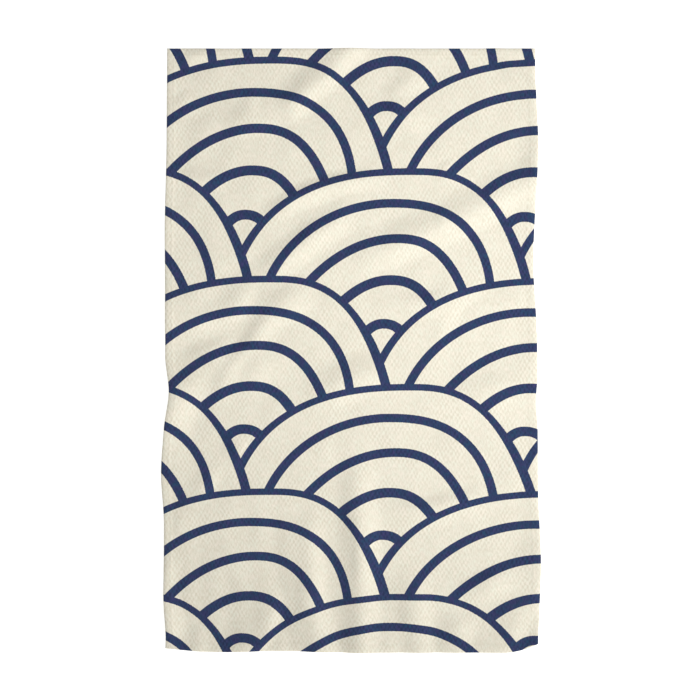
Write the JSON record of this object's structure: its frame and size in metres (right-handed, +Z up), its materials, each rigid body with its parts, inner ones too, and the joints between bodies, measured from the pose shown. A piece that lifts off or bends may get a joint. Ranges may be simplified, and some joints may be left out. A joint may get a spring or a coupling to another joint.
{
  "type": "tea towel",
  "caption": "Rectangular waffle-woven kitchen towel with a narrow turned hem, printed with overlapping wave arcs, lying face up in soft creases.",
  "frame": {"origin": "the middle of the towel's bounding box, on the surface that it lies on", "axes": "+X across the towel, +Y along it towards its straight top edge, +Z up off the surface, out of the printed face"},
  "size_m": [0.4716, 0.75, 0.0091],
  "materials": {
    "printed_cotton": "matt cream waffle weave with a dark blue printed repeat of wave arcs"
  },
  "bodies": {
    "root": {"towel": "printed_cotton"}
  },
  "joints": []
}
